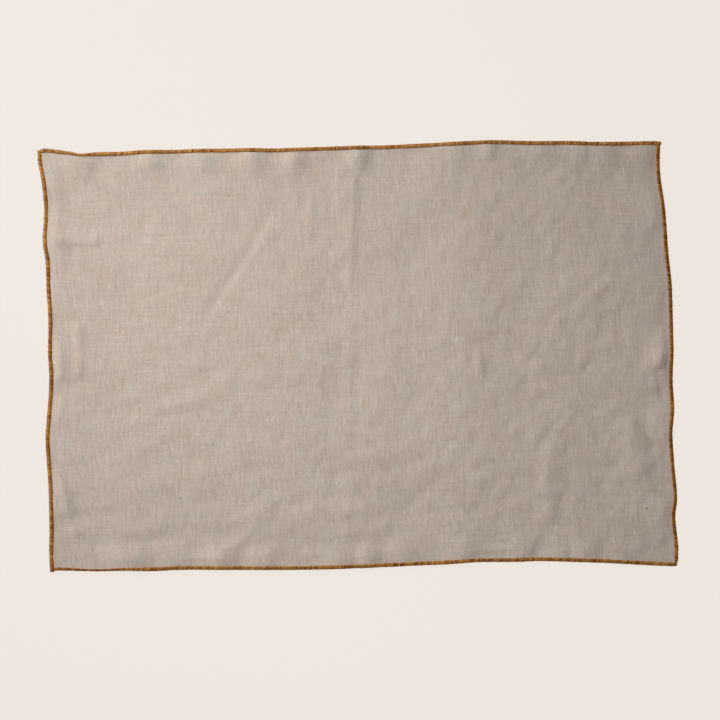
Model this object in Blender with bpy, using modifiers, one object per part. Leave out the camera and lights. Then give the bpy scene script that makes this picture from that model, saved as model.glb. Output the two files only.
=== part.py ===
"""Fabric placemat lying on a table: an uneven linen panel, overlocked all round with thick thread.

Metres, +Z up. The long sides run along X and the top side is the one towards +Y. The origin is under the
middle of the mat, at the height of the table.
"""

from typing import NamedTuple
import math

import bmesh
import bpy
from mathutils import Vector

# The cut panel. Its corners are given as they lie, because the cloth was cut a little askew.
TOP_LEFT = Vector((-0.2465, 0.1580))
TOP_RIGHT = Vector((0.2327, 0.1646))
BOTTOM_RIGHT = Vector((0.2463, -0.1619))
BOTTOM_LEFT = Vector((-0.2369, -0.1656))
PANEL_LENGTH = (TOP_RIGHT - TOP_LEFT).length
PANEL_WIDTH = (TOP_RIGHT - BOTTOM_RIGHT).length
CLOTH_THICKNESS = 0.0010
CELLS_ALONG = 56
CELLS_ACROSS = 38

# The edging clasps the cut edge: a back wall of thread outside it and a lip of thread on either face.
EDGING_OUTSIDE = 0.0013
EDGING_INSIDE = 0.0018
EDGING_HEIGHT = 0.0024
EDGING_ROUNDING = 0.0006
EDGING_END_SHRINK = 0.55
LIP_THICKNESS = 0.0004
GAP = 0.0003
CORNER_GAP = 0.0004

# The edging rests on the table and holds the cut edge at its own middle height. From there the cloth
# slopes down to the table.
RIM_HEIGHT = LIP_THICKNESS + GAP
RIM_WIDTH = EDGING_INSIDE + CORNER_GAP
RIM_SLOPE_WIDTH = 0.0080

# A ripple is highest a little inside the cut edge, and dies away from there.
HEM_EDGE_SHARE = 0.75
HEM_CREST_DEPTH = 0.0060
HEM_REACH = 0.0250
BLEND_POWER = 4

LINEN_COLOUR = (0.515, 0.429, 0.361, 1.0)
LINEN_ROUGHNESS = 0.9
THREAD_COLOUR = (0.319, 0.141, 0.037, 1.0)
THREAD_ROUGHNESS = 0.7


class Bow(NamedTuple):
    """How far a cut edge stands outside the straight line between its corners, at a distance along it."""

    at: float
    out: float


class Ripple(NamedTuple):
    """A soft wave in the edge of the cloth, that runs inwards and dies away."""

    at: float
    half_width: float
    height: float


class Fold(NamedTuple):
    """A soft ridge over the panel, from one place to another.

    Seen from its start, its left and right flanks can be of different widths.
    """

    start: tuple[float, float]
    end: tuple[float, float]
    left_width: float
    right_width: float
    height: float


class Side(NamedTuple):
    """One side of the panel. The sides follow each other clockwise, seen from above."""

    name: str
    start: Vector
    end: Vector
    bows: tuple[Bow, ...]
    ripples: tuple[Ripple, ...]


TOP = Side(
    name="top",
    start=TOP_LEFT,
    end=TOP_RIGHT,
    bows=(
        Bow(at=0.005, out=0.0009),
        Bow(at=0.023, out=-0.0017),
        Bow(at=0.032, out=-0.0035),
        Bow(at=0.045, out=-0.0025),
        Bow(at=0.063, out=-0.0023),
        Bow(at=0.081, out=-0.0013),
        Bow(at=0.103, out=-0.0014),
        Bow(at=0.121, out=-0.0010),
        Bow(at=0.166, out=-0.0010),
        Bow(at=0.183, out=-0.0014),
        Bow(at=0.233, out=-0.0004),
        Bow(at=0.269, out=-0.0001),
        Bow(at=0.295, out=0.0008),
        Bow(at=0.349, out=0.0026),
        Bow(at=0.382, out=0.0015),
        Bow(at=0.405, out=0.0014),
        Bow(at=0.433, out=0.0002),
        Bow(at=0.469, out=0.0002),
    ),
    ripples=(
        Ripple(at=0.030, half_width=0.022, height=0.0018),
        Ripple(at=0.087, half_width=0.014, height=0.0011),
        Ripple(at=0.127, half_width=0.020, height=0.0014),
        Ripple(at=0.165, half_width=0.016, height=0.0018),
        Ripple(at=0.198, half_width=0.014, height=0.0018),
        Ripple(at=0.247, half_width=0.014, height=0.0022),
        Ripple(at=0.322, half_width=0.018, height=0.0016),
        Ripple(at=0.347, half_width=0.012, height=0.0017),
        Ripple(at=0.386, half_width=0.016, height=0.0009),
        Ripple(at=0.418, half_width=0.014, height=0.0008),
        Ripple(at=0.437, half_width=0.016, height=0.0012),
        Ripple(at=0.468, half_width=0.014, height=0.0010),
    ),
)
RIGHT = Side(
    name="right",
    start=TOP_RIGHT,
    end=BOTTOM_RIGHT,
    bows=(
        Bow(at=0.013, out=-0.0010),
        Bow(at=0.029, out=-0.0008),
        Bow(at=0.049, out=0.0012),
        Bow(at=0.087, out=0.0028),
        Bow(at=0.109, out=0.0042),
        Bow(at=0.135, out=0.0040),
        Bow(at=0.161, out=0.0033),
        Bow(at=0.181, out=0.0019),
        Bow(at=0.207, out=0.0020),
        Bow(at=0.224, out=-0.0001),
        Bow(at=0.249, out=0.0005),
        Bow(at=0.275, out=0.0015),
        Bow(at=0.289, out=-0.0006),
        Bow(at=0.311, out=0.0008),
    ),
    ripples=(
        Ripple(at=0.054, half_width=0.029, height=0.0014),
        Ripple(at=0.165, half_width=0.025, height=0.0018),
        Ripple(at=0.220, half_width=0.024, height=0.0015),
        Ripple(at=0.286, half_width=0.024, height=0.0011),
    ),
)
BOTTOM = Side(
    name="bottom",
    start=BOTTOM_RIGHT,
    end=BOTTOM_LEFT,
    bows=(
        Bow(at=0.020, out=-0.0010),
        Bow(at=0.060, out=-0.0033),
        Bow(at=0.104, out=-0.0049),
        Bow(at=0.130, out=-0.0045),
        Bow(at=0.156, out=-0.0044),
        Bow(at=0.178, out=-0.0030),
        Bow(at=0.204, out=-0.0021),
        Bow(at=0.244, out=-0.0006),
        Bow(at=0.284, out=0.0004),
        Bow(at=0.324, out=0.0002),
        Bow(at=0.386, out=-0.0003),
        Bow(at=0.404, out=0.0005),
        Bow(at=0.427, out=-0.0001),
        Bow(at=0.450, out=0.0003),
        Bow(at=0.476, out=-0.0005),
    ),
    ripples=(
        Ripple(at=0.042, half_width=0.012, height=0.0007),
        Ripple(at=0.072, half_width=0.018, height=0.0014),
        Ripple(at=0.091, half_width=0.016, height=0.0013),
        Ripple(at=0.121, half_width=0.014, height=0.0016),
        Ripple(at=0.167, half_width=0.018, height=0.0018),
        Ripple(at=0.213, half_width=0.015, height=0.0010),
        Ripple(at=0.239, half_width=0.015, height=0.0014),
        Ripple(at=0.261, half_width=0.020, height=0.0016),
        Ripple(at=0.319, half_width=0.018, height=0.0015),
        Ripple(at=0.353, half_width=0.020, height=0.0019),
        Ripple(at=0.391, half_width=0.020, height=0.0012),
        Ripple(at=0.424, half_width=0.028, height=0.0021),
    ),
)
LEFT = Side(
    name="left",
    start=BOTTOM_LEFT,
    end=TOP_LEFT,
    bows=(
        Bow(at=0.014, out=0.0003),
        Bow(at=0.029, out=-0.0004),
        Bow(at=0.061, out=-0.0008),
        Bow(at=0.102, out=0.0005),
        Bow(at=0.119, out=-0.0013),
        Bow(at=0.150, out=-0.0039),
        Bow(at=0.167, out=-0.0035),
        Bow(at=0.195, out=-0.0044),
        Bow(at=0.217, out=-0.0037),
        Bow(at=0.239, out=-0.0036),
        Bow(at=0.254, out=-0.0019),
        Bow(at=0.269, out=-0.0031),
        Bow(at=0.283, out=-0.0036),
        Bow(at=0.301, out=-0.0023),
        Bow(at=0.317, out=0.0002),
    ),
    ripples=(
        Ripple(at=0.052, half_width=0.026, height=0.0010),
        Ripple(at=0.117, half_width=0.016, height=0.0006),
        Ripple(at=0.158, half_width=0.024, height=0.0012),
        Ripple(at=0.205, half_width=0.018, height=0.0006),
        Ripple(at=0.250, half_width=0.024, height=0.0014),
        Ripple(at=0.300, half_width=0.020, height=0.0008),
    ),
)

# Old folds and swells that ironing left in the panel: from, to, left and right width, height.
FOLDS = (
    # The middle fold: steep beside the top side, then hardly there.
    Fold((-0.002, 0.160), (-0.005, 0.075), 0.007, 0.018, 0.0005),
    Fold((-0.005, 0.075), (-0.006, -0.020), 0.008, 0.012, 0.00025),
    Fold((-0.006, -0.020), (-0.008, -0.160), 0.008, 0.014, 0.0002),
    # A wide swell along the quarter fold.
    Fold((0.080, 0.140), (0.084, -0.080), 0.055, 0.045, 0.0010),
    # A bent ridge in the lower left quarter.
    Fold((-0.157, -0.042), (-0.108, -0.032), 0.016, 0.006, 0.0003),
    Fold((-0.108, -0.032), (-0.094, -0.010), 0.016, 0.006, 0.0003),
    # A swell beside the lower right corner, and the slack patch inside the right side.
    Fold((0.147, -0.078), (0.147, -0.102), 0.018, 0.012, 0.0004),
    Fold((0.214, -0.056), (0.217, -0.086), 0.014, 0.018, 0.0010),
)


def bump(offset):
    """A soft hump: 1 in the middle, 0 and level at an offset of 1 and past it."""
    if abs(offset) >= 1.0:
        return 0.0
    return math.cos(0.5 * math.pi * offset) ** 2


def blend(heights):
    """The highest of several humps, rounded off where two of them are alike."""
    return sum(height**BLEND_POWER for height in heights) ** (1.0 / BLEND_POWER)


def bow_at(side, at):
    """How far the side stands out at this distance along it, on one smooth line through its bows."""
    length = (side.end - side.start).length
    knots = (Bow(0.0, 0.0), *side.bows, Bow(length, 0.0))
    at = min(max(at, 0.0), length)
    index = max(i for i in range(len(knots) - 1) if knots[i].at <= at)
    here, after = knots[index], knots[index + 1]

    def slope(middle):
        low = knots[max(middle - 1, 0)]
        high = knots[min(middle + 1, len(knots) - 1)]
        return (high.out - low.out) / (high.at - low.at)

    width = after.at - here.at
    share = (at - here.at) / width
    rest = 1.0 - share
    value = here.out * (1.0 + 2.0 * share) * rest**2 + after.out * (3.0 - 2.0 * share) * share**2
    turn = slope(index) * rest - slope(index + 1) * share
    return value + turn * share * rest * width


def outward(side):
    """The plan direction that points away from the panel, square to the side."""
    along = (side.end - side.start).normalized()
    return Vector((-along.y, along.x))


def side_point(side, share):
    """Plan position on the cut edge, at this share of the way along the side."""
    straight = side.end - side.start
    return side.start + straight * share + outward(side) * bow_at(side, straight.length * share)


def panel_point(u, v):
    """Plan position on the panel, at share u from left to right and share v from bottom to top."""
    between_long_sides = side_point(BOTTOM, 1.0 - u).lerp(side_point(TOP, u), v)
    between_short_sides = side_point(LEFT, v).lerp(side_point(RIGHT, 1.0 - v), u)
    between_corners = BOTTOM_LEFT.lerp(BOTTOM_RIGHT, u).lerp(TOP_LEFT.lerp(TOP_RIGHT, u), v)
    return between_long_sides + between_short_sides - between_corners


def depths(u, v):
    """For each side, the share of the way along it and the distance from it, at (u, v) on the panel."""
    return (
        (TOP, u, (1.0 - v) * PANEL_WIDTH),
        (RIGHT, 1.0 - v, (1.0 - u) * PANEL_LENGTH),
        (BOTTOM, 1.0 - u, v * PANEL_WIDTH),
        (LEFT, v, u * PANEL_LENGTH),
    )


def hem_share(depth):
    """What share of a ripple's height there is this far inside the cut edge."""
    if depth < HEM_CREST_DEPTH:
        return HEM_EDGE_SHARE + (1.0 - HEM_EDGE_SHARE) * bump(depth / HEM_CREST_DEPTH - 1.0)
    return bump((depth - HEM_CREST_DEPTH) / (HEM_REACH - HEM_CREST_DEPTH))


def ripple_height(side, share, depth):
    """Height of the side's ripples at this share along it and this far inside the cut edge."""
    at = share * (side.end - side.start).length
    waves = [wave.height * bump((at - wave.at) / wave.half_width) for wave in side.ripples]
    return blend(waves) * hem_share(depth)


def fold_height(fold, point):
    """Height of one fold at a plan position."""
    start, end = Vector(fold.start), Vector(fold.end)
    line = end - start
    share = min(max((point - start).dot(line) / line.length_squared, 0.0), 1.0)
    offset = point - start - line * share
    width = fold.left_width if line.cross(offset) > 0.0 else fold.right_width
    return fold.height * bump(offset.length / width)


def off_rim(share, length):
    """The nearest share of this length that is clear of the edging."""
    rim = RIM_WIDTH / length
    return min(max(share, rim), 1.0 - rim)


def slack_height(u, v):
    """How far ripples and folds hold the cloth off the table. The edging keeps the rim level across it."""
    u, v = off_rim(u, PANEL_LENGTH), off_rim(v, PANEL_WIDTH)
    point = panel_point(u, v)
    heights = [fold_height(fold, point) for fold in FOLDS]
    heights += [ripple_height(side, share, depth) for side, share, depth in depths(u, v)]
    return blend(heights)


def underside_height(u, v):
    """Height of the cloth's underside above the table, with the rim held up by the edging."""
    depth = min(depth for _, _, depth in depths(u, v))
    slope = bump(max(depth - RIM_WIDTH, 0.0) / RIM_SLOPE_WIDTH)
    return slack_height(u, v) + RIM_HEIGHT * slope


def grid_lines(cells, length):
    """Shares of a side at which the cloth has a line of points: even cells between two hem crests, with the
    rim at either end."""
    rim, crest = RIM_WIDTH / length, HEM_CREST_DEPTH / length
    inner = [crest + (1.0 - 2.0 * crest) * i / cells for i in range(cells + 1)]
    return [0.0, rim, *inner, 1.0 - rim, 1.0]


ALONG_LINES = grid_lines(CELLS_ALONG, PANEL_LENGTH)
ACROSS_LINES = grid_lines(CELLS_ACROSS, PANEL_WIDTH)


def make_material(name, colour, roughness):
    """A plain non-metallic finish."""
    material = bpy.data.materials.new(name)
    material.use_nodes = True
    shader = material.node_tree.nodes["Principled BSDF"]
    shader.inputs["Base Color"].default_value = colour
    shader.inputs["Roughness"].default_value = roughness
    shader.inputs["Metallic"].default_value = 0.0
    return material


def make_panel(collection, material):
    """The linen: a grid laid out to the panel's outline and folds, thickened upwards."""
    columns, rows = len(ALONG_LINES) - 1, len(ACROSS_LINES) - 1
    bm = bmesh.new()
    bmesh.ops.create_grid(bm, x_segments=columns, y_segments=rows, size=0.5)
    for vert in bm.verts:
        u = ALONG_LINES[round((vert.co.x + 0.5) * columns)]
        v = ACROSS_LINES[round((vert.co.y + 0.5) * rows)]
        vert.co = (*panel_point(u, v), underside_height(u, v))
    mesh = bpy.data.meshes.new("linen_panel")
    bm.to_mesh(mesh)
    bm.free()
    mesh.shade_smooth()
    mesh.materials.append(material)
    panel = bpy.data.objects.new("linen_panel", mesh)
    collection.objects.link(panel)
    solidify = panel.modifiers.new("cloth thickness", "SOLIDIFY")
    solidify.thickness = CLOTH_THICKNESS
    solidify.offset = 1.0
    solidify.use_even_offset = True
    return panel


def make_edging_profile(collection):
    """The edging's section: a rounded C, open towards the cloth. Its x points inwards from the cut edge."""
    chamfered = EDGING_OUTSIDE - EDGING_ROUNDING
    lip_end = EDGING_INSIDE - EDGING_ROUNDING
    lip_top = EDGING_HEIGHT - LIP_THICKNESS
    corners = (
        (chamfered, 0.0),
        (EDGING_OUTSIDE, EDGING_ROUNDING),
        (EDGING_OUTSIDE, EDGING_HEIGHT - EDGING_ROUNDING),
        (chamfered, EDGING_HEIGHT),
        (-lip_end, EDGING_HEIGHT),
        (-EDGING_INSIDE, lip_top),
        (GAP, lip_top),
        (GAP, LIP_THICKNESS),
        (-EDGING_INSIDE, LIP_THICKNESS),
        (-lip_end, 0.0),
    )
    curve = bpy.data.curves.new("edging_profile", "CURVE")
    curve.dimensions = "2D"
    spline = curve.splines.new("POLY")
    spline.points.add(len(corners) - 1)
    for point, (out, up) in zip(spline.points, corners):
        point.co = (-out, up, 0.0, 1.0)
    spline.use_cyclic_u = True
    profile = bpy.data.objects.new("edging_profile", curve)
    profile.hide_render = True
    profile.display_type = "WIRE"
    collection.objects.link(profile)
    return profile


def on_panel(side, share):
    """The (u, v) of a place on the cut edge."""
    return {
        "top": (share, 1.0),
        "right": (1.0, 1.0 - share),
        "bottom": (1.0 - share, 0.0),
        "left": (0.0, share),
    }[side.name]


def run_on(station, direction):
    """The two stations that take a run past a corner: whole over the cloth's end, then drawn in."""
    x, y, z, size = station
    return [
        (*(Vector((x, y)) + direction * GAP), z, size),
        (*(Vector((x, y)) + direction * EDGING_OUTSIDE), z, EDGING_END_SHRINK),
    ]


def edging_stations(side, past_start, past_end):
    """Plan position, height and size of a run of edging, at each line of the cloth's grid.

    A run that is let past a corner covers the end of the next side's edging. Any other stops short of
    that edging by the corner gap.
    """
    lines = ALONG_LINES if side in (TOP, BOTTOM) else ACROSS_LINES
    lines = lines[0 if past_start else 1 : None if past_end else -1]
    stations = [(*side_point(side, share), slack_height(*on_panel(side, share)), 1.0) for share in lines]
    along = (side.end - side.start).normalized()
    if past_start:
        stations = run_on(stations[0], -along)[::-1] + stations
    if past_end:
        stations = stations + run_on(stations[-1], along)
    return stations


def make_edging(side, past_start, past_end, profile, collection, material):
    """One run of overlocked edging along a side of the panel."""
    stations = edging_stations(side, past_start, past_end)
    curve = bpy.data.curves.new(f"edging_{side.name}", "CURVE")
    curve.dimensions = "3D"
    curve.twist_mode = "Z_UP"
    curve.bevel_mode = "OBJECT"
    curve.bevel_object = profile
    curve.use_fill_caps = True
    spline = curve.splines.new("POLY")
    spline.points.add(len(stations) - 1)
    for point, (x, y, z, size) in zip(spline.points, stations):
        point.co = (x, y, z, 1.0)
        point.radius = size
    curve.materials.append(material)
    edging = bpy.data.objects.new(f"edging_{side.name}", curve)
    collection.objects.link(edging)
    return edging


def clear_scene():
    for item in list(bpy.data.objects):
        bpy.data.objects.remove(item, do_unlink=True)


def main():
    clear_scene()
    placemat = bpy.data.collections.new("fabric_placemat")
    guides = bpy.data.collections.new("guides")
    guides.hide_render = True
    bpy.context.scene.collection.children.link(placemat)
    bpy.context.scene.collection.children.link(guides)
    linen = make_material("linen", LINEN_COLOUR, LINEN_ROUGHNESS)
    thread = make_material("edging_thread", THREAD_COLOUR, THREAD_ROUGHNESS)
    make_panel(placemat, linen)
    profile = make_edging_profile(guides)
    make_edging(TOP, True, True, profile, placemat, thread)
    make_edging(RIGHT, False, False, profile, placemat, thread)
    make_edging(BOTTOM, True, False, profile, placemat, thread)
    make_edging(LEFT, True, False, profile, placemat, thread)


if __name__ == "__main__":
    main()
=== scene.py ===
"""Looks of a linen placemat: an uneven greige sheet, overlocked all round in thick ochre thread.

Metres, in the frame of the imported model: +Z up, the long sides along X and the top side towards +Y.
"""

from __future__ import annotations

import logging
import math
from dataclasses import dataclass
from enum import Enum
from typing import Any, Sequence

import bpy
import numpy as np
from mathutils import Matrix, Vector, noise


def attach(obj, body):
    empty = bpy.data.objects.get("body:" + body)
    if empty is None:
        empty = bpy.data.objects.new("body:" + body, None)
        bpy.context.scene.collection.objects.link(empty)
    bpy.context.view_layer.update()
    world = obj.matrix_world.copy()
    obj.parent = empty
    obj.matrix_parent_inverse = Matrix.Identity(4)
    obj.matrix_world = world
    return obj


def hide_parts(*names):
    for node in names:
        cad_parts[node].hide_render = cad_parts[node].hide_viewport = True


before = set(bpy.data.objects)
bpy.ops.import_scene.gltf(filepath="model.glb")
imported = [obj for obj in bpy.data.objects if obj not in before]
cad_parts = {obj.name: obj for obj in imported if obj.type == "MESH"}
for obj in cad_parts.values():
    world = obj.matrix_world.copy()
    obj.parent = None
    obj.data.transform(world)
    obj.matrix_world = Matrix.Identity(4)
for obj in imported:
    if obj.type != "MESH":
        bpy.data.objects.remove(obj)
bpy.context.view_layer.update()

LOG = logging.getLogger("placemat")
BODY = "root"


# --- how the mat lies -------------------------------------


@dataclass(frozen=True)
class Bow:
    """How far a cut edge stands outside the straight line between its corners, at a distance along it."""

    at: float
    out: float


@dataclass(frozen=True)
class Ripple:
    """A soft wave in the edge of the cloth, that runs inwards and dies away."""

    at: float
    half_width: float
    height: float


@dataclass(frozen=True)
class Fold:
    """A soft ridge, or a trough where its height is below zero, from one place on the panel to another.

    Seen from its start, its left and right flanks can be of different widths.
    """

    start: tuple[float, float]
    end: tuple[float, float]
    left_width: float
    right_width: float
    height: float


class Place(Enum):
    """The four sides, clockwise from above."""

    TOP = "top"
    RIGHT = "right"
    BOTTOM = "bottom"
    LEFT = "left"


@dataclass(frozen=True)
class Side:
    """One side of the panel, from corner to corner, with its bows and ripples."""

    place: Place
    start: tuple[float, float]
    end: tuple[float, float]
    bows: tuple[Bow, ...]
    ripples: tuple[Ripple, ...]

    @property
    def length(self) -> float:
        """The straight distance between the side's corners."""
        return math.dist(self.start, self.end)

    def bow_at(self, at: np.ndarray) -> np.ndarray:
        """How far the side stands out, on one smooth line through its bows.

        Args:
            at: distances along the side.

        Returns:
            The outward offset at each distance.
        """
        stops = np.array([0.0, *(bow.at for bow in self.bows), self.length])
        outs = np.array([0.0, *(bow.out for bow in self.bows), 0.0])
        slopes = np.gradient(outs, stops)
        slopes[1:-1] = (outs[2:] - outs[:-2]) / (stops[2:] - stops[:-2])
        at = np.clip(at, 0.0, self.length)
        index = np.clip(np.searchsorted(stops, at, side="right") - 1, 0, len(stops) - 2)
        width = stops[index + 1] - stops[index]
        share = (at - stops[index]) / width
        rest = 1.0 - share
        value = outs[index] * (1.0 + 2.0 * share) * rest**2
        value += outs[index + 1] * (3.0 - 2.0 * share) * share**2
        return value + (slopes[index] * rest - slopes[index + 1] * share) * share * rest * width

    def point(self, share: np.ndarray) -> np.ndarray:
        """Plan positions on the cut edge.

        Args:
            share: shares of the way along the side.

        Returns:
            One (x, y) for each share.
        """
        start, end = np.array(self.start), np.array(self.end)
        along = (end - start) / self.length
        outward = np.array((-along[1], along[0]))
        bow = self.bow_at(share * self.length)
        return start + share[..., None] * (end - start) + bow[..., None] * outward

    def ripple_height(self, share: np.ndarray) -> np.ndarray:
        """Height of the ripples at the cut edge, at these shares of the way along the side."""
        at = share * self.length
        waves = [wave.height * bump((at - wave.at) / wave.half_width) for wave in self.ripples]
        return blend(waves)


def bump(offset: np.ndarray) -> np.ndarray:
    """A soft hump: 1 in the middle, 0 and level at an offset of 1 and past it."""
    return np.cos(0.5 * np.pi * np.clip(offset, -1.0, 1.0)) ** 2


def blend(heights: Sequence[np.ndarray]) -> np.ndarray:
    """The highest of several humps, rounded off where two of them are alike."""
    power = 4
    return sum(height**power for height in heights) ** (1.0 / power)


TOP_LEFT = (-0.2465, 0.158)
TOP_RIGHT = (0.2327, 0.1646)
BOTTOM_RIGHT = (0.2463, -0.1619)
BOTTOM_LEFT = (-0.2369, -0.1656)

TOP = Side(
    place=Place.TOP,
    start=TOP_LEFT,
    end=TOP_RIGHT,
    bows=(
        Bow(0.005, 0.0009), Bow(0.023, -0.0017), Bow(0.032, -0.0035), Bow(0.045, -0.0025),
        Bow(0.063, -0.0023), Bow(0.081, -0.0013), Bow(0.103, -0.0014), Bow(0.121, -0.001),
        Bow(0.166, -0.001), Bow(0.183, -0.0014), Bow(0.233, -0.0004), Bow(0.269, -0.0001),
        Bow(0.295, 0.0008), Bow(0.349, 0.0026), Bow(0.382, 0.0015), Bow(0.405, 0.0014),
        Bow(0.433, 0.0002), Bow(0.469, 0.0002),
    ),
    ripples=(
        Ripple(0.03, 0.022, 0.0018), Ripple(0.087, 0.014, 0.0011), Ripple(0.127, 0.02, 0.0014),
        Ripple(0.165, 0.016, 0.0018), Ripple(0.198, 0.014, 0.0018), Ripple(0.247, 0.014, 0.0022),
        Ripple(0.322, 0.018, 0.0016), Ripple(0.347, 0.012, 0.0017), Ripple(0.386, 0.016, 0.0009),
        Ripple(0.418, 0.014, 0.0008), Ripple(0.437, 0.016, 0.0012), Ripple(0.468, 0.014, 0.001),
    ),
)
RIGHT = Side(
    place=Place.RIGHT,
    start=TOP_RIGHT,
    end=BOTTOM_RIGHT,
    bows=(
        Bow(0.013, -0.001), Bow(0.029, -0.0008), Bow(0.049, 0.0012), Bow(0.087, 0.0028),
        Bow(0.109, 0.0042), Bow(0.135, 0.004), Bow(0.161, 0.0033), Bow(0.181, 0.0019),
        Bow(0.207, 0.002), Bow(0.224, -0.0001), Bow(0.249, 0.0005), Bow(0.275, 0.0015),
        Bow(0.289, -0.0006), Bow(0.311, 0.0008),
    ),
    ripples=(
        Ripple(0.054, 0.029, 0.0014), Ripple(0.165, 0.025, 0.0018), Ripple(0.22, 0.024, 0.0015),
        Ripple(0.286, 0.024, 0.0011),
    ),
)
BOTTOM = Side(
    place=Place.BOTTOM,
    start=BOTTOM_RIGHT,
    end=BOTTOM_LEFT,
    bows=(
        Bow(0.02, -0.001), Bow(0.06, -0.0033), Bow(0.104, -0.0049), Bow(0.13, -0.0045),
        Bow(0.156, -0.0044), Bow(0.178, -0.003), Bow(0.204, -0.0021), Bow(0.244, -0.0006),
        Bow(0.284, 0.0004), Bow(0.324, 0.0002), Bow(0.386, -0.0003), Bow(0.404, 0.0005),
        Bow(0.427, -0.0001), Bow(0.45, 0.0003), Bow(0.476, -0.0005),
    ),
    ripples=(
        Ripple(0.042, 0.012, 0.0007), Ripple(0.072, 0.018, 0.0014), Ripple(0.091, 0.016, 0.0013),
        Ripple(0.121, 0.014, 0.0016), Ripple(0.167, 0.018, 0.0018), Ripple(0.213, 0.015, 0.001),
        Ripple(0.239, 0.015, 0.0014), Ripple(0.261, 0.02, 0.0016), Ripple(0.319, 0.018, 0.0015),
        Ripple(0.353, 0.02, 0.0019), Ripple(0.391, 0.02, 0.0012), Ripple(0.424, 0.028, 0.0021),
    ),
)
LEFT = Side(
    place=Place.LEFT,
    start=BOTTOM_LEFT,
    end=TOP_LEFT,
    bows=(
        Bow(0.014, 0.0003), Bow(0.029, -0.0004), Bow(0.061, -0.0008), Bow(0.102, 0.0005),
        Bow(0.119, -0.0013), Bow(0.15, -0.0039), Bow(0.167, -0.0035), Bow(0.195, -0.0044),
        Bow(0.217, -0.0037), Bow(0.239, -0.0036), Bow(0.254, -0.0019), Bow(0.269, -0.0031),
        Bow(0.283, -0.0036), Bow(0.301, -0.0023), Bow(0.317, 0.0002),
    ),
    ripples=(
        Ripple(0.052, 0.026, 0.001), Ripple(0.117, 0.016, 0.0006), Ripple(0.158, 0.024, 0.0012),
        Ripple(0.205, 0.018, 0.0006), Ripple(0.25, 0.024, 0.0014), Ripple(0.3, 0.02, 0.0008),
    ),
)

# Folds and swells high enough for the solid to have them too.
FOLDS = (
    # The middle fold: steep beside the top side, then hardly there.
    Fold((-0.002, 0.16), (-0.005, 0.075), 0.007, 0.018, 0.0005),
    Fold((-0.005, 0.075), (-0.006, -0.02), 0.008, 0.012, 0.00025),
    Fold((-0.006, -0.02), (-0.008, -0.16), 0.008, 0.014, 0.0002),
    # A wide swell along the quarter fold.
    Fold((0.08, 0.14), (0.084, -0.08), 0.055, 0.045, 0.001),
    # A bent ridge in the lower left quarter.
    Fold((-0.157, -0.042), (-0.108, -0.032), 0.016, 0.006, 0.0003),
    Fold((-0.108, -0.032), (-0.094, -0.01), 0.016, 0.006, 0.0003),
    # A swell beside the lower right corner, and the slack patch inside the right side.
    Fold((0.147, -0.078), (0.147, -0.102), 0.018, 0.012, 0.0004),
    Fold((0.214, -0.056), (0.217, -0.086), 0.014, 0.018, 0.001),
)

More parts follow.
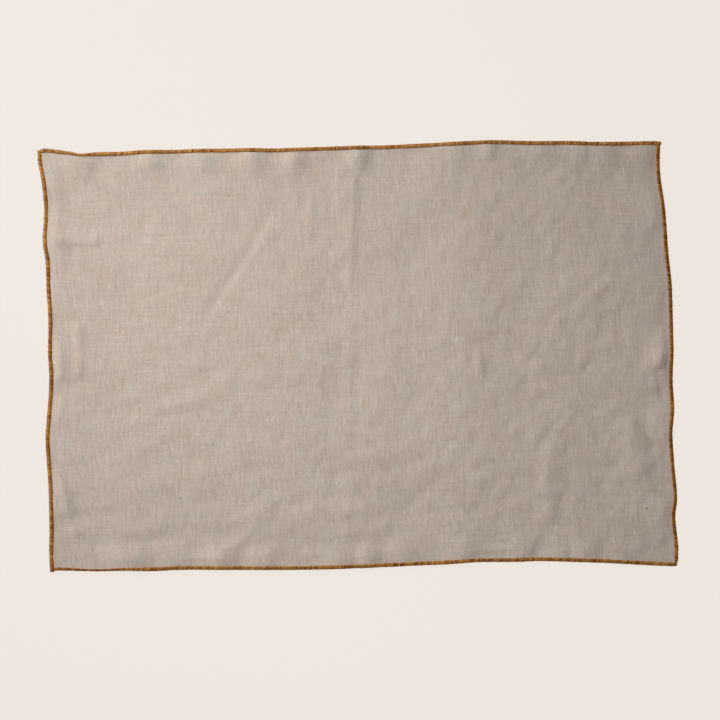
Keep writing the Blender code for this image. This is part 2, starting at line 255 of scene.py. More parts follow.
# Sharp, shallow creases on top of them.
CREASES = (
    # Along the crown of the middle fold, and the tuck beside its upper end.
    Fold((-0.003, 0.14), (-0.006, 0.062), 0.004, 0.0075, 0.00022),
    Fold((-0.0155, 0.142), (-0.0155, 0.115), 0.012, 0.006, 0.00026),
    Fold((-0.007, 0.01), (-0.0072, -0.036), 0.004, 0.004, 0.0002),
    Fold((-0.0075, -0.085), (-0.008, -0.135), 0.0045, 0.008, 0.00016),
    # A wide hollow around its middle.
    Fold((-0.01, 0.05), (-0.01, -0.008), 0.05, 0.035, -0.0007),
    # The slanting crease in the upper left quarter, softer on its upper side.
    Fold((-0.056, 0.132), (-0.069, 0.105), 0.0052, 0.0095, -0.00022),
    Fold((-0.069, 0.105), (-0.091, 0.069), 0.0052, 0.0095, -0.0004),
    Fold((-0.091, 0.069), (-0.11, 0.04), 0.0052, 0.0095, -0.0004),
    Fold((-0.11, 0.04), (-0.124, 0.013), 0.0052, 0.0095, -0.0002),
    # A short upright crease left of the middle fold.
    Fold((-0.036, 0.119), (-0.038, 0.092), 0.006, 0.005, 0.00036),
    # The thin bent crease in the lower right quarter.
    Fold((0.017, -0.123), (0.064, -0.121), 0.0035, 0.008, -0.00012),
    Fold((0.064, -0.121), (0.118, -0.111), 0.0035, 0.008, -0.00017),
    # Creases that run in from the bottom side.
    Fold((0.083, -0.155), (0.091, -0.151), 0.005, 0.0035, 0.0004),
    Fold((0.091, -0.151), (0.119, -0.149), 0.005, 0.0035, 0.0004),
    Fold((0.132, -0.151), (0.137, -0.141), 0.004, 0.004, 0.00034),
    Fold((-0.095, -0.147), (-0.069, -0.121), 0.018, 0.007, 0.00042),
    # Puckers beside the left side.
    Fold((-0.24, 0.09), (-0.204, 0.088), 0.008, 0.006, 0.0006),
    Fold((-0.216, 0.022), (-0.215, -0.012), 0.006, 0.006, 0.00062),
    Fold((-0.231, 0.006), (-0.23, -0.016), 0.006, 0.006, 0.0006),
    Fold((-0.2285, -0.035), (-0.228, -0.041), 0.0045, 0.006, 0.00045),
    Fold((-0.231, -0.09), (-0.219, -0.136), 0.006, 0.007, 0.0006),
    Fold((-0.232, 0.125), (-0.231, 0.095), 0.006, 0.005, 0.0003),
    # A broad swell in the lower left quarter.
    Fold((-0.176, -0.06), (-0.172, -0.125), 0.04, 0.03, 0.0004),
    # Short creases in the right half, and puckers beside the right side.
    Fold((0.0935, 0.004), (0.0955, -0.01), 0.0045, 0.008, 0.0004),
    Fold((0.114, -0.062), (0.133, -0.052), 0.008, 0.005, 0.0003),
    Fold((0.155, -0.058), (0.165, -0.046), 0.006, 0.0055, 0.0004),
    Fold((0.149, -0.072), (0.1435, -0.104), 0.014, 0.006, 0.00036),
    Fold((0.152, -0.106), (0.15, -0.127), 0.006, 0.012, 0.00045),
    Fold((0.126, 0.072), (0.127, 0.057), 0.0045, 0.007, 0.00026),
    Fold((0.178, 0.047), (0.197, 0.06), 0.004, 0.01, 0.00018),
    Fold((0.237, 0.011), (0.235, -0.005), 0.006, 0.012, 0.00065),
    Fold((0.232, -0.012), (0.2355, -0.032), 0.0045, 0.005, -0.0006),
    Fold((0.04, -0.098), (0.06, -0.084), 0.007, 0.016, 0.00024),
)


@dataclass(frozen=True)
class Crumple:
    """A layer of soft unevenness all over the cloth, stronger in some corners than in others.

    Its heights are those at the lower left, lower right, upper left and upper right of its spread.
    """

    across: float
    stretch: float
    turn: float
    heights: tuple[float, float, float, float]
    seed: float
    spread: tuple[float, float] = (0.4, 0.3)

    def at(self, points: np.ndarray) -> np.ndarray:
        """Height of the layer at plan positions.

        Args:
            points: (x, y) positions.

        Returns:
            One height for each, on both sides of zero.
        """
        flat = points.reshape(-1, 2)
        cos, sin = math.cos(math.radians(self.turn)), math.sin(math.radians(self.turn))
        across = (flat[:, 0] * cos + flat[:, 1] * sin) / self.across
        along = (flat[:, 1] * cos - flat[:, 0] * sin) / (self.across * self.stretch)
        values = [noise.noise(Vector((x, y, self.seed))) for x, y in zip(across, along)]
        right = np.clip(flat[:, 0] / self.spread[0] + 0.5, 0.0, 1.0)
        up = np.clip(flat[:, 1] / self.spread[1] + 0.5, 0.0, 1.0)
        low_left, low_right, high_left, high_right = self.heights
        low = low_left + right * (low_right - low_left)
        high = high_left + right * (high_right - high_left)
        return ((low + up * (high - low)) * np.array(values)).reshape(points.shape[:-1])


CRUMPLES = (
    # Broad and soft all over.
    Crumple(0.04, 1.2, 0.0, (0.0006, 0.0008, 0.0006, 0.0008), 3.1),
    # Lying waves low on the left.
    Crumple(0.036, 0.27, 12.0, (0.00045, 0.0002, 0.00006, 0.0), 21.3),
    # Slanting ones towards the right.
    Crumple(0.0095, 1.5, -28.0, (0.00004, 0.00038, 0.00008, 0.0003), 7.7),
    # Small dimples.
    Crumple(0.007, 1.1, 0.0, (0.00008, 0.00018, 0.00006, 0.00018), 12.4),
)


@dataclass(frozen=True)
class Hem:
    """How the cloth rises and sinks inwards from its cut edge, beside a ripple."""

    edge_share: float = 0.75
    crest_depth: float = 0.006
    reach: float = 0.025

    def share(self, depth: np.ndarray) -> np.ndarray:
        """What share of a ripple's height there is at a depth inside the cut edge."""
        rise = self.edge_share + (1.0 - self.edge_share) * bump(depth / self.crest_depth - 1.0)
        fall = bump((depth - self.crest_depth) / (self.reach - self.crest_depth))
        return np.where(depth < self.crest_depth, rise, fall)


@dataclass(frozen=True)
class Lay:
    """The way the panel lies: its outline from its four sides, and its height from ripples and folds."""

    top: Side
    right: Side
    bottom: Side
    left: Side
    folds: tuple[Fold, ...]
    creases: tuple[Fold, ...]
    crumples: tuple[Crumple, ...]
    hem: Hem = Hem()
    rim_height: float = 0.0007
    rim_width: float = 0.0022
    rim_slope_width: float = 0.008
    lift: float = 0.0008

    @property
    def length(self) -> float:
        """Length of the panel, along its long sides."""
        return self.top.length

    @property
    def width(self) -> float:
        """Width of the panel, along its short sides."""
        return self.right.length

    def point(self, u: np.ndarray, v: np.ndarray) -> np.ndarray:
        """Plan positions on the panel.

        Args:
            u: shares of the way from left to right.
            v: shares of the way from bottom to top.

        Returns:
            One (x, y) for each pair of shares.
        """
        across, up = u[..., None], v[..., None]
        long_sides = (1.0 - up) * self.bottom.point(1.0 - u) + up * self.top.point(u)
        short_sides = (1.0 - across) * self.left.point(v) + across * self.right.point(1.0 - v)
        low = (1.0 - across) * np.array(self.bottom.end) + across * np.array(self.bottom.start)
        high = (1.0 - across) * np.array(self.top.start) + across * np.array(self.top.end)
        return long_sides + short_sides - (1.0 - up) * low - up * high

    def off_rim(self, share: np.ndarray, length: float) -> np.ndarray:
        """The nearest shares of this length that are clear of the edging."""
        rim = self.rim_width / length
        return np.clip(share, rim, 1.0 - rim)

    def slack(self, u: np.ndarray, v: np.ndarray) -> np.ndarray:
        """How far ripples and folds hold the cloth off the table. The edging keeps the rim level.

        Args:
            u: shares of the way from left to right.
            v: shares of the way from bottom to top.

        Returns:
            One height for each pair of shares.
        """
        u, v = self.off_rim(u, self.length), self.off_rim(v, self.width)
        points = self.point(u, v)
        heights = [fold_height(fold, points) for fold in self.folds]
        for side, share, depth in (
            (self.top, u, (1.0 - v) * self.width),
            (self.right, 1.0 - v, (1.0 - u) * self.length),
            (self.bottom, 1.0 - u, v * self.width),
            (self.left, v, u * self.length),
        ):
            heights.append(side.ripple_height(share) * self.hem.share(depth))
        return blend(heights)

    def underside(self, u: np.ndarray, v: np.ndarray) -> np.ndarray:
        """Height of the cloth's underside, with its creases and crumples, and its rim in the edging.

        Args:
            u: shares of the way from left to right.
            v: shares of the way from bottom to top.

        Returns:
            One height for each pair of shares, none of them below the table.
        """
        points = self.point(u, v)
        depth = np.minimum.reduce(
            [u * self.length, (1.0 - u) * self.length, v * self.width, (1.0 - v) * self.width]
        )
        rim = bump(np.maximum(depth - self.rim_width, 0.0) / self.rim_slope_width)
        creases = [fold_height(crease, points) for crease in self.creases]
        fine = blend([np.maximum(crease, 0.0) for crease in creases])
        fine -= blend([np.maximum(-crease, 0.0) for crease in creases])
        fine += sum(crumple.at(points) for crumple in self.crumples)
        height = self.slack(u, v) + self.rim_height * rim
        return np.maximum(height + (fine + self.lift) * (1.0 - rim), 0.0)


def fold_height(fold: Fold, points: np.ndarray) -> np.ndarray:
    """Height of one fold at plan positions.

    Args:
        fold: the fold.
        points: (x, y) positions.

    Returns:
        One height for each position.
    """
    start, end = np.array(fold.start), np.array(fold.end)
    line = end - start
    share = np.clip((points - start) @ line / (line @ line), 0.0, 1.0)
    offset = points - start - share[..., None] * line
    leftwards = line[0] * offset[..., 1] - line[1] * offset[..., 0]
    width = np.where(leftwards > 0.0, fold.left_width, fold.right_width)
    return fold.height * bump(np.linalg.norm(offset, axis=-1) / width)


# --- shader building --------------------------------------


class Sock:
    """A node socket that takes part in Python arithmetic, by adding Math nodes."""

    def __init__(self, graph: Graph, socket: bpy.types.NodeSocket) -> None:
        """Wraps a socket of a graph."""
        self.graph = graph
        self.socket = socket

    def _math(self, operation: str, *values: Sock | float) -> Sock:
        """A Math node on these values."""
        return self.graph.node("ShaderNodeMath", {"operation": operation}, dict(enumerate(values)))

    def __add__(self, other: Sock | float) -> Sock:
        """self + other."""
        return self._math("ADD", self, other)

    def __radd__(self, other: float) -> Sock:
        """other + self."""
        return self._math("ADD", other, self)

    def __sub__(self, other: Sock | float) -> Sock:
        """self - other."""
        return self._math("SUBTRACT", self, other)

    def __rsub__(self, other: float) -> Sock:
        """other - self."""
        return self._math("SUBTRACT", other, self)

    def __mul__(self, other: Sock | float) -> Sock:
        """self * other."""
        return self._math("MULTIPLY", self, other)

    def __rmul__(self, other: float) -> Sock:
        """other * self."""
        return self._math("MULTIPLY", other, self)

    def __truediv__(self, other: Sock | float) -> Sock:
        """self / other."""
        return self._math("DIVIDE", self, other)

    def floor(self) -> Sock:
        """The whole number below."""
        return self._math("FLOOR", self)

    def fraction(self) -> Sock:
        """What is left above the whole number below."""
        return self._math("FRACT", self)

    def absolute(self) -> Sock:
        """The value without its sign."""
        return self._math("ABSOLUTE", self)

    def sine(self) -> Sock:
        """The sine of the value in radians."""
        return self._math("SINE", self)

    def highest(self, other: Sock | float) -> Sock:
        """The higher of two values."""
        return self._math("MAXIMUM", self, other)

    def ramp(self, low: float, high: float) -> Sock:
        """0 below low, 1 above high, smooth between."""
        settings = {"interpolation_type": "SMOOTHSTEP"}
        return self.graph.node("ShaderNodeMapRange", settings, {"Value": self, 1: low, 2: high})


@dataclass(frozen=True)
class Streaks:
    """A layer of soft noise: how far its streaks run along x and y, and a number that sets it apart."""

    run_x: float
    run_y: float
    layer: float


class Graph:
    """The node tree of one material."""

    def __init__(self, name: str) -> None:
        """Makes a material with a Principled shader and nothing else."""
        self.material = bpy.data.materials.new(name)
        self.material.use_nodes = True
        self.tree = self.material.node_tree
        self.tree.nodes.clear()
        self.shader = self.tree.nodes.new("ShaderNodeBsdfPrincipled")
        output = self.tree.nodes.new("ShaderNodeOutputMaterial")
        self.tree.links.new(self.shader.outputs["BSDF"], output.inputs["Surface"])

    def node(
        self,
        kind: str,
        settings: dict[str, Any] | None = None,
        inputs: dict[str | int, Any] | None = None,
        output: str | int = 0,
    ) -> Sock:
        """Adds any node.

        Args:
            kind: the node's type.
            settings: its settings, which are set first.
            inputs: values or links of its sockets, by name or number.
            output: the output socket to hand back.

        Returns:
            That output socket.
        """
        made = self.tree.nodes.new(kind)
        for key, value in (settings or {}).items():
            setattr(made, key, value)
        for key, value in (inputs or {}).items():
            if isinstance(value, Sock):
                self.tree.links.new(value.socket, made.inputs[key])
            else:
                made.inputs[key].default_value = value
        return Sock(self, made.outputs[output])

    def mix(self, factor: Sock | float, low: Any, high: Any) -> Sock:
        """A colour between two colours.

        Args:
            factor: 0 for low, 1 for high.
            low: a colour or a link.
            high: a colour or a link.

        Returns:
            The mixed colour.
        """
        inputs = {"Factor": factor, 6: low, 7: high}
        return self.node("ShaderNodeMix", {"data_type": "RGBA"}, inputs, output=2)

    def scaled(self, colour: Any, value: Sock) -> Sock:
        """A colour times a number."""
        settings = {"operation": "SCALE"}
        return self.node("ShaderNodeVectorMath", settings, {0: colour, "Scale": value})

    def added(self, first: Any, second: Any) -> Sock:
        """The sum of two colours."""
        return self.node("ShaderNodeVectorMath", {"operation": "ADD"}, {0: first, 1: second})

    def place(self, x: Sock | float, y: Sock | float, z: Sock | float = 0.0) -> Sock:
        """A position from its three numbers."""
        return self.node("ShaderNodeCombineXYZ", None, {0: x, 1: y, 2: z})

    def parts(self, vector: Sock) -> tuple[Sock, Sock]:
        """The first two numbers of a vector."""
        split = self.node("ShaderNodeSeparateXYZ", None, {0: vector})
        return split, Sock(self, split.socket.node.outputs[1])

    def streaks(self, x: Sock, y: Sock, kind: Streaks, detail: float = 1.0) -> Sock:
        """Soft noise of about -0.5 to 0.5, stretched along one axis.

        Args:
            x: the first coordinate, in metres.
            y: the second one.
            kind: the layer that it belongs to.
            detail: how much finer noise is laid over it.

        Returns:
            The noise.
        """
        return self.cloud(self.place(x / kind.run_x, y / kind.run_y, kind.layer), detail) - 0.5

    def cloud(self, place: Sock, detail: float = 2.0) -> Sock:
        """Soft noise around one half, at the scale of the position it is given."""
        inputs = {"Vector": place, "Scale": 1.0, "Detail": detail, "Roughness": 0.5}
        return self.node("ShaderNodeTexNoise", {"noise_dimensions": "3D"}, inputs)

    def set(self, name: str, value: Any) -> None:
        """Gives one of the shader's sockets a value or a link."""
        if isinstance(value, Sock):
            self.tree.links.new(value.socket, self.shader.inputs[name])
        else:
            self.shader.inputs[name].default_value = value

    def bump(self, height: Sock, distance: float, normal: Sock | None = None) -> Sock:
        """A bumped normal.

        Args:
            height: the height, around 0 to 1.
            distance: what a height of 1 stands for, in metres.
            normal: a normal to bump further.

        Returns:
            The normal.
        """
        inputs: dict[str | int, Any] = {"Strength": 1.0, "Distance": distance, "Height": height}
        if normal is not None:
            inputs["Normal"] = normal
        return self.node("ShaderNodeBump", None, inputs)


@dataclass(frozen=True)
class Slub:
    """A thick stretch of thread or a small fleck in the weave, lighter or darker than the cloth."""

    x: float
    y: float
    half_x: float
    half_y: float
    tone: float


SLUBS = (
    # Light stretches of weft, then of warp.
    Slub(-0.1644, 0.0876, 0.008, 0.0009, 0.11),
    Slub(-0.1658, -0.0121, 0.013, 0.0008, 0.09),
    Slub(-0.1312, 0.0254, 0.0008, 0.01, 0.09),
    Slub(-0.093, 0.048, 0.0008, 0.007, 0.07),
    # A nick near the upper left corner, and dark flecks low on the right.
    Slub(-0.2178, 0.1371, 0.0007, 0.0014, -0.32),
    Slub(0.223, -0.1181, 0.001, 0.0012, -0.5),
    Slub(-0.002, -0.1158, 0.0006, 0.0008, -0.32),
    Slub(0.0227, -0.1328, 0.0006, 0.0008, -0.32),
)


@dataclass(frozen=True)
class LinenFinish:
    """Matte plain-weave linen, undyed greige, with thick and thin threads in both directions."""

    name: str = "linen"
    colour: tuple[float, float, float] = (0.535, 0.446, 0.378)
    roughness: float = 0.92
    gloss: float = 0.2
    fuzz: float = 0.12
    fuzz_roughness: float = 0.6
    warp_pitch: float = 0.0007
    weft_pitch: float = 0.00076
    tone_swing: tuple[float, float, float] = (0.91, 1.13, 1.34)
    hue_swing: tuple[float, float, float] = (0.024, -0.016, -0.036)
    warp: Streaks = Streaks(0.0008, 0.0095, 0.5)
    warp_tone: float = 0.43
    warp_patches: Streaks = Streaks(0.013, 0.016, 6.5)
    warp_patch_swing: float = 1.1
    weft: Streaks = Streaks(0.018, 0.0009, 2.5)
    weft_tone: float = 0.2
    weft_patches: Streaks = Streaks(0.02, 0.012, 7.5)
    weft_patch_swing: float = 1.5
    wide_warp: Streaks = Streaks(0.0045, 0.04, 1.5)
    wide_warp_tone: float = 0.035
    wide_weft: Streaks = Streaks(0.045, 0.005, 3.5)
    wide_weft_tone: float = 0.04
    grain: Streaks = Streaks(0.0008, 0.0017, 4.5)
    grain_tone: float = 0.32
    mottle: Streaks = Streaks(0.011, 0.014, 5.5)
    mottle_tone: float = 0.05
    hue: Streaks = Streaks(0.013, 0.011, 8.5)
    dents: Streaks = Streaks(0.004, 0.005, 9.0)
    dent_relief: float = 0.00016
    thread_relief: float = 0.00012
    thread_dip: float = 0.55
    slubs: tuple[Slub, ...] = SLUBS

    def build(self) -> bpy.types.Material:
        """Makes the material. Its weave follows the cloth's own map, which is in metres."""
        graph = Graph(self.name)
        x, y = graph.parts(graph.node("ShaderNodeUVMap", {"uv_map": "cloth"}))
        warp = graph.streaks(x, y, self.warp)
        weft = graph.streaks(x, y, self.weft)
        warp_patch = 1.0 + self.warp_patch_swing * graph.streaks(x, y, self.warp_patches, detail=2.0)
        weft_patch = 1.0 + self.weft_patch_swing * graph.streaks(x, y, self.weft_patches, detail=2.0)
        tone = self.warp_tone * warp * warp_patch + self.weft_tone * weft * weft_patch
        tone = tone + self.wide_warp_tone * graph.streaks(x, y, self.wide_warp)
        tone = tone + self.wide_weft_tone * graph.streaks(x, y, self.wide_weft)
        tone = tone + self.grain_tone * graph.streaks(x, y, self.grain) * warp_patch
        tone = tone + self.mottle_tone * graph.streaks(x, y, self.mottle)
        tone = tone + self._slubs(graph)
        tinted = graph.added(self.colour, graph.scaled(self.hue_swing, graph.streaks(x, y, self.hue)))
        swing = tuple(part * share for part, share in zip(self.colour, self.tone_swing))
        graph.set("Base Color", graph.added(tinted, graph.scaled(swing, tone)))
        graph.set("Roughness", self.roughness)
        graph.set("Specular IOR Level", self.gloss)
        graph.set("Sheen Weight", self.fuzz)
        graph.set("Sheen Roughness", self.fuzz_roughness)
        normal = graph.bump(graph.streaks(x, y, self.dents, detail=2.0), self.dent_relief)
        weave = self._weave(x, y, warp, weft)
        graph.set("Normal", graph.bump(weave, self.thread_relief, normal))
        return graph.material

    def _slubs(self, graph: Graph) -> Sock | float:
        """The tone that slubs and flecks add, each a soft oval laid out in the plan of the mat."""
        x, y = graph.parts(graph.node("ShaderNodeTexCoord", output="Object"))
        total: Sock | float = 0.0
        for slub in self.slubs:
            away_x = (x - slub.x) / slub.half_x
            away_y = (y - slub.y) / slub.half_y
            total = total + slub.tone * (1.0 - (away_x * away_x + away_y * away_y).ramp(0.0, 1.0))
        return total

    def _weave(self, x: Sock, y: Sock, warp: Sock, weft: Sock) -> Sock:
        """Height of the weave: each thread a rounded rib that goes over one and under the next.

        Args:
            x: distance across the warp threads.
            y: distance along them.
            warp: how thick the warp is there.
            weft: how thick the weft is there.

        Returns:
            A height of about 0 to 1.
        """
        across, along = x / self.warp_pitch, y / self.weft_pitch
        swap = ((across.floor() + along.floor()) * 0.5).fraction() * 2.0
        over = (across * math.pi).sine().absolute() * (1.0 - self.thread_dip * (1.0 - swap))
        under = (along * math.pi).sine().absolute() * (1.0 - self.thread_dip * swap)
        return (over * (1.0 + warp)).highest(under * (1.0 + weft))


@dataclass(frozen=True)
class ThreadFinish:
    """Soft ochre overlock thread with a low lustre, no two stitches quite alike."""

    name: str = "edging_thread"
    colour: tuple[float, float, float] = (0.505, 0.256, 0.046)
    dark: tuple[float, float, float] = (0.231, 0.06, 0.0)
    roughness: float = 0.4
    gloss: float = 0.28
    plies_along: float = 9.0
    plies_around: float = 2.0
    # Painted shade on the plies: lighter on their crests, darker in the grooves between them.
    ply_painted_shade: float = 0.1
    fuzz_grain: tuple[float, float, float] = (40.0, 12.0, 50.0)
    fuzz_tone: float = 0.3
    patch_grain: tuple[float, float, float] = (7.0, 2.0, 30.0)
    patch_tone: float = 1.0
    relief: float = 0.00009
    ply_rise: float = 0.35
    fuzz_rise: float = 0.3

    def build(self) -> bpy.types.Material:
        """Makes the material. Each stitch has its own tone, and its plies wind along it, painted lighter
        on their crests and darker in the grooves between them as painted shade.
        """
        graph = Graph(self.name)
        tone = graph.node("ShaderNodeAttribute", {"attribute_name": "tone"}, output="Fac")
        along, around = graph.parts(graph.node("ShaderNodeUVMap", {"uv_map": "thread"}))
        turns = along * self.plies_along + around * self.plies_around
        plies = (turns * (2.0 * math.pi)).sine()
        runs, rounds, apart = self.fuzz_grain
        fuzz = graph.cloud(graph.place(along * runs, around * rounds, tone * apart))
        runs, rounds, apart = self.patch_grain
        patch = graph.cloud(graph.place(along * runs, around * rounds, tone * apart), detail=1.0)
        # The plies' share is painted shade that follows their bump; the rest is each stitch's own tone.
        shade = tone + self.ply_painted_shade * plies + self.fuzz_tone * (fuzz - 0.5)
        shade = shade + self.patch_tone * (patch - 0.5)
        graph.set("Base Color", graph.mix(shade, (*self.dark, 1.0), (*self.colour, 1.0)))
        graph.set("Roughness", self.roughness)
        graph.set("Specular IOR Level", self.gloss)
        rise = 0.5 + self.ply_rise * plies + self.fuzz_rise * fuzz
        graph.set("Normal", graph.bump(rise, self.relief))
        return graph.material


@dataclass(frozen=True)
class TableFinish:
    """A plain pale surface that keeps one even tone, with only a faint shadow on it."""

    name: str = "pale_table"
    colour: tuple[float, float, float] = (0.871, 0.814, 0.753)
    glow: float = 0.94

    def build(self) -> bpy.types.Material:
        """Makes the material, mostly lit from within so that the lamp's falloff doesn't show on it."""
        graph = Graph(self.name)
        graph.set("Base Color", (*(part * (1.0 - self.glow) for part in self.colour), 1.0))
        graph.set("Roughness", 1.0)
        graph.set("Specular IOR Level", 0.0)
        graph.set("Emission Color", (*self.colour, 1.0))
        graph.set("Emission Strength", self.glow)
        return graph.material


# --- pieces -----------------------------------------------


@dataclass(frozen=True)
class Strands:
    """Thread as arrays: points, faces of four, a map in turns, and a tone for each point."""

    points: np.ndarray
    faces: np.ndarray
    uv: np.ndarray
    tone: np.ndarray

    def joined(self, other: Strands) -> Strands:
        """These strands and others, as one."""
        return Strands(
            points=np.vstack([self.points, other.points]),
            faces=np.vstack([self.faces, other.faces + len(self.points)]),
            uv=np.vstack([self.uv, other.uv]),
            tone=np.concatenate([self.tone, other.tone]),
        )

    def build(self, name: str) -> bpy.types.Object:
        """Makes an object of the strands, linked to the scene and shaded smooth."""
        mesh = bpy.data.meshes.new(name)
        mesh.from_pydata(self.points.tolist(), [], self.faces.tolist())
        layer = mesh.uv_layers.new(name="thread")
        layer.data.foreach_set("uv", self.uv.astype(np.float32).ravel())
        mesh.attributes.new("tone", "FLOAT", "POINT").data.foreach_set("value", self.tone)
        mesh.shade_smooth()
        obj = bpy.data.objects.new(name, mesh)
        bpy.context.scene.collection.objects.link(obj)
        return obj


def activate(obj: bpy.types.Object) -> None:
    """Selects this object alone."""
    if bpy.context.mode != "OBJECT":
        bpy.ops.object.mode_set(mode="OBJECT")
    bpy.ops.object.select_all(action="DESELECT")
    obj.select_set(True)
    bpy.context.view_layer.objects.active = obj


@dataclass
class LinenPanel:
    """The sheet of linen: a fine grid laid out on the folds, thickened upwards."""

    lay: Lay
    columns: int = 260
    rows: int = 176
    thickness: float = 0.001

    def lines(self, cells: int, length: float) -> np.ndarray:
        """Shares of a side at which the grid has a line: even cells, with a rim strip at either end."""
        rim = self.lay.rim_width / length
        inner = np.linspace(rim, 1.0 - rim, cells - 3)
        return np.concatenate([[0.0, 0.5 * rim], inner, [1.0 - 0.5 * rim, 1.0]])

    def build(self, finish: bpy.types.Material) -> bpy.types.Object:
        """Makes the sheet.

        Args:
            finish: the linen's material.

        Returns:
            The finished piece.
        """
        bpy.ops.object.select_all(action="DESELECT")
        bpy.ops.mesh.primitive_grid_add(x_subdivisions=self.columns, y_subdivisions=self.rows, size=1.0)
        sheet = bpy.context.active_object
        sheet.name = sheet.data.name = "linen_sheet"
        mesh = sheet.data
        flat = np.empty(len(mesh.vertices) * 3)
        mesh.vertices.foreach_get("co", flat)
        flat = flat.reshape(-1, 3)
        u = self.lines(self.columns, self.lay.length)[self.index(flat[:, 0], self.columns)]
        v = self.lines(self.rows, self.lay.width)[self.index(flat[:, 1], self.rows)]
        points = np.column_stack([self.lay.point(u, v), self.lay.underside(u, v)])
        mesh.vertices.foreach_set("co", points.ravel())
        corners = np.empty(len(mesh.loops), dtype=np.int64)
        mesh.loops.foreach_get("vertex_index", corners)
        cloth_map = np.column_stack([u * self.lay.length, v * self.lay.width])[corners]
        mesh.uv_layers[0].name = "cloth"
        mesh.uv_layers[0].data.foreach_set("uv", cloth_map.astype(np.float32).ravel())
        mesh.shade_smooth()
        mesh.materials.append(finish)
        activate(sheet)
        solidify = sheet.modifiers.new("cloth thickness", "SOLIDIFY")
        solidify.thickness = self.thickness
        solidify.offset = 1.0
        solidify.use_even_offset = True
        bpy.ops.object.modifier_apply(modifier=solidify.name)
        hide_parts("linen_panel")
        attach(sheet, BODY)
        return sheet

    @staticmethod
    def index(position: np.ndarray, cells: int) -> np.ndarray:
        """The grid line of each position from -0.5 to 0.5."""
        return np.rint((position + 0.5) * cells).astype(int)


@dataclass(frozen=True)
class Pinch:
    """A stretch where the edging is turned half on its side, and looks narrower from above. A tone below
    zero darkens its stitches as painted shade, for the shadow on the turned edging.
    """

    at: float
    half_width: float
    share: float
    # Below zero, painted shade on the stitches of the stretch.
    tone: float


@dataclass(frozen=True)
class Core:
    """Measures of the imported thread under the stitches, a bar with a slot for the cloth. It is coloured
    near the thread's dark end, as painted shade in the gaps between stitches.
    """

    inset: float = 0.0003
    foot: float = 0.00022
    middle: float = -0.0006
    slot_foot: float = 0.0005
    slot_top: float = 0.00175
    slot_end: float = 0.00015
    low_share: float = 0.3
    high_share: float = 0.7
    top_share: float = 0.6
    from_end: float = 0.0006
    end_size: float = 0.8
    spacing: float = 0.0025
    map_step: float = 0.1
    # Painted shade: close to the thread's dark colour, so the gaps between stitches look shaded.
    tone: float = 0.05


